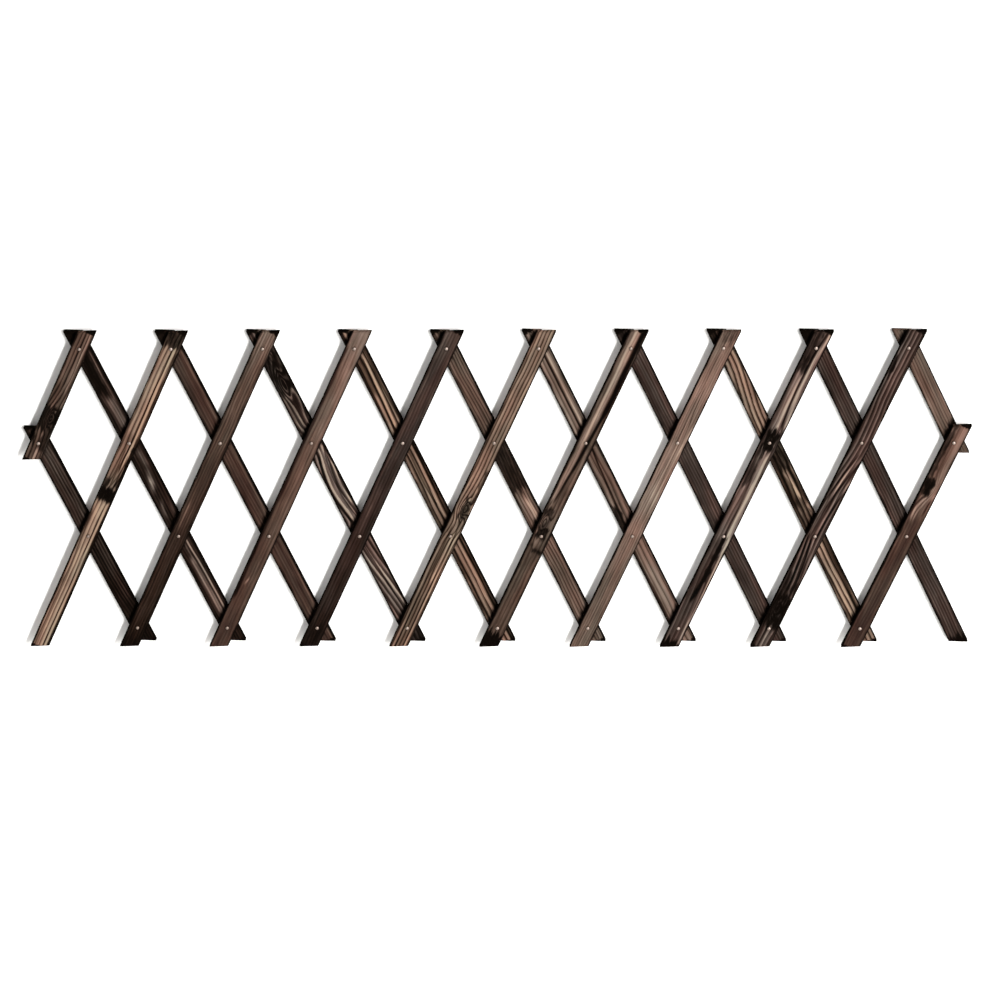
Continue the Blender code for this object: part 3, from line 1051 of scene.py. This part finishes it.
    def painted_shadow(self, skin: Array) -> Array:
        """Painted shadow and shade on a back slat's face in the corner beside each front slat, laid in as
        char.

        The distance from a front slat's middle is the place along times the sine of twice the
        lean, plus the place across times its cosine. The char is full at its edge.

        Args:
            skin: Places in the bar's own frame.

        Returns:
            Painted shadow as char, from 0 to 1.
        """
        sizes = self.lattice
        found = np.zeros(len(skin))
        ragged = 1.5 * wave(skin[:, 1] / MM, 9.0, self.seed() + 19)
        for row in self.rivet_rows():
            along = skin[:, 0] - row * sizes.rivet_pitch
            leftward = along * math.sin(2 * sizes.lean) + skin[:, 1] * math.cos(2 * sizes.lean)
            for (depth, reach), side in zip(self.soot_and_shade, (leftward, -leftward)):
                beside = (side - sizes.slat_width / 2) / MM
                near = 1.0 - smooth_step(0.0, reach / MM, beside + ragged)
                found = np.maximum(found, depth * near * (beside > -4))
        return np.where(skin[:, 2] < 0, found, 0.0)

    def build(self, materials: dict[str, bpy.types.Material]) -> bpy.types.Object:
        """Makes the slat, in place of its CAD node.

        Args:
            materials: The finishes by slot name.

        Returns:
            The slat's object.
        """
        sizes = self.lattice
        finish = self.board.finish
        skin, quads = self.surface()
        # A shift along the grain gives each board wood of its own
        shift = np.array((0.71 * (self.seed() + 1), 0.0, 0.0))
        attributes = {"grain": skin + shift, "ring": self.rings(skin), "figure": self.figure(skin)}
        front = self.layer is Layer.FRONT
        cosine = math.cos(sizes.lean) * (1 if front else -1)
        sine = math.sin(sizes.lean)
        axes = np.array(((cosine, 0, sine), (sine, 0, -cosine), (0, 1, 0)))
        middle_y = sizes.front_middle_y if front else sizes.back_middle_y
        foot = sizes.point(sizes.column(self.layer, self.index, 0), 0, middle_y)
        points = foot + skin @ axes
        name = f"{self.node()}_board"
        piece = make_object(name, points, quads.tolist(), attributes, materials[finish])
        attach(piece, self.node())
        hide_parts(self.node())
        LOG.info("%s: %d faces, %s", piece.name, len(quads), finish)
        return piece


# Rivets


@dataclass(frozen=True)
class Rivet:
    """One rivet: domed head, shank through both slats and a clinched end on the wall."""

    name: str
    place: Pair
    body: str
    node: str | None
    wear: float
    head_radius: float = 0.0022
    head_height: float = 0.0010
    shank_radius: float = 0.0013
    clinch_radius: float = 0.0026
    clinch_thickness: float = 0.0008
    head_inner_y: float = -0.0218
    # How much darker the rim gets: sooty tarnish plus painted shade
    rim_tarnish_and_shade: float = 0.45
    sides: int = 24

    # Points of a curve, the share of the head that is a plain edge, radius and depth of the
    # hollow where the tool pressed the clinched end, and the angle of a sharp edge
    steps: int = 7
    head_edge: float = 0.12
    hollow: tuple[Pair, ...] = ((0.0, -0.0002), (0.0006, -0.00016), (0.0011, 0.0))
    sharp: float = math.radians(50)

    def profile(self) -> Array:
        """Radius and depth of the rivet's outline, from its rear pole to its crown.

        The head is a quarter ellipse, from its flat underside to its crown. The clinched end
        is a flat disc with a rounded rim.
        """
        half = self.clinch_thickness / 2
        turns = np.radians(np.linspace(90, -90, self.steps))
        rim_radius = self.clinch_radius - half + half * np.cos(turns)
        rim = np.stack((rim_radius, half * np.sin(turns) - half), axis=1)
        shank = (
            (self.shank_radius, -self.clinch_thickness),
            (self.shank_radius, self.head_inner_y),
            (self.head_radius, self.head_inner_y),
        )
        turns = np.radians(np.linspace(0, 90, self.steps))
        rise = self.head_height * (self.head_edge + (1 - self.head_edge) * np.sin(turns))
        dome = np.stack((self.head_radius * np.cos(turns), self.head_inner_y - rise), axis=1)
        return np.concatenate((self.hollow, rim, shank, dome))

    def build(self, material: bpy.types.Material) -> bpy.types.Object:
        """Turns the profile about the rivet's own axis, its two poles closed.

        Wear grows with the cube of the distance from the axis, so the rim is the darkest: sooty tarnish
        plus painted shade.

        Args:
            material: The plated metal.

        Returns:
            The rivet's object.
        """
        outline = self.profile()
        turns = np.arange(self.sides) * 2 * math.pi / self.sides
        radius, depth = outline[1:-1].T[:, :, None]
        rings = np.broadcast_arrays(radius * np.cos(turns), depth, radius * np.sin(turns))
        body = np.stack(rings, axis=-1).reshape(-1, 3)
        points = np.concatenate((body, ((0, outline[0, 1], 0), (0, outline[-1, 1], 0))))
        index = np.arange(len(body)).reshape(-1, self.sides)
        after = np.roll(index, -1, axis=1)
        walls = np.stack((index[:-1], after[:-1], after[1:], index[1:]), axis=-1).reshape(-1, 4)
        rear, crown = len(body), len(body) + 1
        caps = [[rear, b, a] for a, b in zip(index[0].tolist(), after[0].tolist())]
        caps += [[crown, a, b] for a, b in zip(index[-1].tolist(), after[-1].tolist())]
        out = np.hypot(points[:, 0], points[:, 2]) / self.head_radius
        # Tarnish, and painted shade that grows towards the rim
        wear = {"wear": self.wear + self.rim_tarnish_and_shade * out**3}
        points += (self.place[0], 0.0, self.place[1])
        piece = make_object(self.name, points, walls.tolist() + caps, wear, material)
        piece.data.set_sharp_from_angle(angle=self.sharp)
        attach(piece, self.body)
        if self.node:
            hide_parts(self.node)
        return piece


@dataclass(frozen=True)
class Trellis:
    """The whole lattice: 22 slats and 40 rivets."""

    lattice: Lattice = field(default_factory=Lattice)
    row_names: tuple[str, ...] = ("bottom", "lower", "upper", "top")
    most_wear: float = 0.3

    def slats(self) -> list[Slat]:
        """Every slat, the front layer first."""
        boards = ((Layer.FRONT, FRONT_BOARDS), (Layer.BACK, BACK_BOARDS))
        return [
            Slat(self.lattice, layer, index, board)
            for layer, row in boards
            for index, board in enumerate(row)
        ]

    def rivets(self, nodes: set[str]) -> list[Rivet]:
        """Every rivet, row by row from the bottom left.

        Args:
            nodes: The CAD nodes. The two rivets without one are in one piece with their slat.

        Returns:
            The rivets.
        """
        chance = np.random.default_rng(5)
        sizes = self.lattice
        found = []
        for row, row_name in enumerate(self.row_names):
            for number, (front, _) in enumerate(sizes.crossings(row), start=1):
                name = f"rivet_{row_name}_{number:02d}"
                column = sizes.column(Layer.FRONT, front, row)
                x, _, z = sizes.point(column, row, 0.0)
                centre = (column, row) == (sizes.centre_column, sizes.centre_row)
                body = "centre_rivet" if centre else f"front_slat_{front + 1:02d}"
                node = name if name in nodes else None
                wear = chance.uniform(0.0, self.most_wear)
                found.append(Rivet(f"{name}_pin", (x, z), body, node, wear))
        return found

    def build(self, nodes: set[str]) -> None:
        """Builds every piece on its CAD body.

        Args:
            nodes: The CAD nodes' names.
        """
        woods = {slot: finish.build() for slot, finish in FINISHES.items()}
        metal = PlatedRivet().build()
        for slat in self.slats():
            slat.build(woods)
        rivets = self.rivets(nodes)
        for rivet in rivets:
            rivet.build(metal)
        LOG.info("%d rivets", len(rivets))


# Studio


@dataclass(frozen=True)
class Studio:
    """Pale wall and floor in one sweep, a soft key light from the right, and the camera."""

    wall_y: float = 0.0003
    floor_z: float = -0.9
    cove: float = 0.5
    half_length: float = 6.0
    depth: float = 9.0
    height: float = 5.0

    key_direction: Triple = (0.467, -1.0, 0.26)
    key_distance: float = 8.0
    key_lean: float = math.radians(65.25)
    key_sizes: Pair = (0.9, 5.0)
    key_power: float = 1000.0
    rear_place: Triple = (0.0, 6.0, 0.6)
    rear_sizes: Pair = (2.5, 2.5)
    rear_power: float = 260.0
    world_strength: float = 0.31

    # The photograph's viewing angle, worked out from where its rivets lie
    camera_turn: float = math.radians(2.91)
    camera_height: float = math.radians(20.0)
    camera_distance: float = 6.0
    focal_length: float = 174.6
    aim: Triple = (0.0, -0.0228, -0.0613)
    aim_shift: Pair = (0.0063, -0.0120)

    def backdrop(self) -> None:
        """Adds wall, cove and floor as one strip carried along X.

        Its profile runs down the wall, round a quarter circle and out along the floor. Its
        rear side is clear, so that the trellis shows from behind too.
        """
        turns = np.radians(np.linspace(0, 90, 17))
        bend_y = self.wall_y - self.cove + self.cove * np.cos(turns)
        bend_z = self.floor_z + self.cove - self.cove * np.sin(turns)
        run_y = np.concatenate(([self.wall_y], bend_y, [-self.depth]))
        run_z = np.concatenate(([self.height], bend_z, [self.floor_z]))
        count = len(run_y)
        left = np.stack((np.full(count, -self.half_length), run_y, run_z), axis=1)
        points = np.concatenate((left, left * (-1.0, 1.0, 1.0)))
        index = np.arange(count - 1)
        quads = np.stack((index, index + 1, index + 1 + count, index + count), axis=1)
        material, tree, shader = new_material("matt_white_paint")
        shader.inputs["Base Color"].default_value = linear("f4f3f1")
        shader.inputs["Roughness"].default_value = 1.0
        shader.inputs["Specular IOR Level"].default_value = 0.0
        side = add_node(tree, "ShaderNodeNewGeometry").outputs["Backfacing"]
        clear = add_node(tree, "ShaderNodeBsdfTransparent").outputs[0]
        sides = add_node(tree, "ShaderNodeMixShader", {0: side, 1: shader.outputs[0], 2: clear})
        tree.links.new(sides.outputs[0], tree.nodes["Material Output"].inputs["Surface"])
        sweep = make_object("sweep", points, quads.tolist(), {}, material)
        sweep.visible_shadow = False
        sweep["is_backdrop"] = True

    def light(self, name: str, place: Vector, side: Vector, sizes: Pair, power: float) -> None:
        """Adds one oblong soft light that points at the trellis's middle.

        Args:
            name: Its name.
            place: Where it stands.
            side: Roughly where its long side runs.
            sizes: Its short and its long side in metres.
            power: Its power in watts.
        """
        data = bpy.data.lights.new(name, "AREA")
        data.shape = "RECTANGLE"
        data.size, data.size_y = sizes
        data.energy = power
        back = place.normalized()
        along = (side - back * side.dot(back)).normalized()
        lamp = set_up(name, data, place, (along.cross(back), along, back))
        lamp.visible_camera = False

    def lights(self) -> None:
        """Adds the key light, the light behind the wall and the even white surroundings.

        The key light is a long strip beside the camera that leans as the front slats do, so
        that their shadows on the wall stay narrow and those of all ends are soft.
        """
        place = Vector(self.key_direction).normalized() * self.key_distance
        lean = Vector((math.cos(self.key_lean), 0.0, math.sin(self.key_lean)))
        self.light("key", place, lean, self.key_sizes, self.key_power)
        place = Vector(self.rear_place)
        self.light("rear", place, Vector((0.0, 0.0, 1.0)), self.rear_sizes, self.rear_power)
        world = bpy.data.worlds.new("surroundings")
        world.use_nodes = True
        background = world.node_tree.nodes["Background"]
        background.inputs["Color"].default_value = grey(1.0)
        background.inputs["Strength"].default_value = self.world_strength
        bpy.context.scene.world = world

    def camera(self) -> None:
        """Adds the camera: level along the rows, its aim a little off the lattice's middle."""
        flat = math.cos(self.camera_height)
        x, y = math.sin(self.camera_turn) * flat, -math.cos(self.camera_turn) * flat
        back = Vector((x, y, math.sin(self.camera_height)))
        right = Vector((1.0, 0.0, 0.0))
        right = (right - back * right.dot(back)).normalized()
        up = back.cross(right)
        target = Vector(self.aim) + right * self.aim_shift[0] + up * self.aim_shift[1]
        data = bpy.data.cameras.new("camera")
        data.lens = self.focal_length
        data.sensor_width = 36.0
        data.clip_start = 0.1
        data.clip_end = 100.0
        place = target + back * self.camera_distance
        bpy.context.scene.camera = set_up("camera", data, place, (right, up, back))

    def build(self) -> None:
        """Sets up the backdrop, the lights, the camera and plain colour."""
        self.backdrop()
        self.lights()
        self.camera()
        settings = bpy.context.scene.view_settings
        settings.view_transform = "Standard"
        settings.look = "None"


def set_up(name: str, data: bpy.types.ID, place: Vector, axes: tuple[Vector, ...]) -> bpy.types.Object:
    """Puts a light or a camera into the scene.

    Args:
        name: Its name.
        data: The light or camera.
        place: Where it stands.
        axes: Where its right, its top and its rear side face.

    Returns:
        Its object.
    """
    stand = bpy.data.objects.new(name, data)
    stand.matrix_world = Matrix.Translation(place) @ Matrix(axes).transposed().to_4x4()
    bpy.context.scene.collection.objects.link(stand)
    return stand


def corners() -> list[list[float]]:
    """The shown object's lowest and highest corner as plain lists."""
    return [list(corner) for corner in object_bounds()]


def main() -> None:
    """Builds the trellis on its frame and the studio round it."""
    logging.basicConfig(level=logging.INFO, format="%(message)s")
    for leftover in list(bpy.data.objects):
        bpy.data.objects.remove(leftover, do_unlink=True)
    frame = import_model()
    Trellis().build(set(frame["nodes"]))
    Studio().build()


if __name__ == "__main__":
    main()
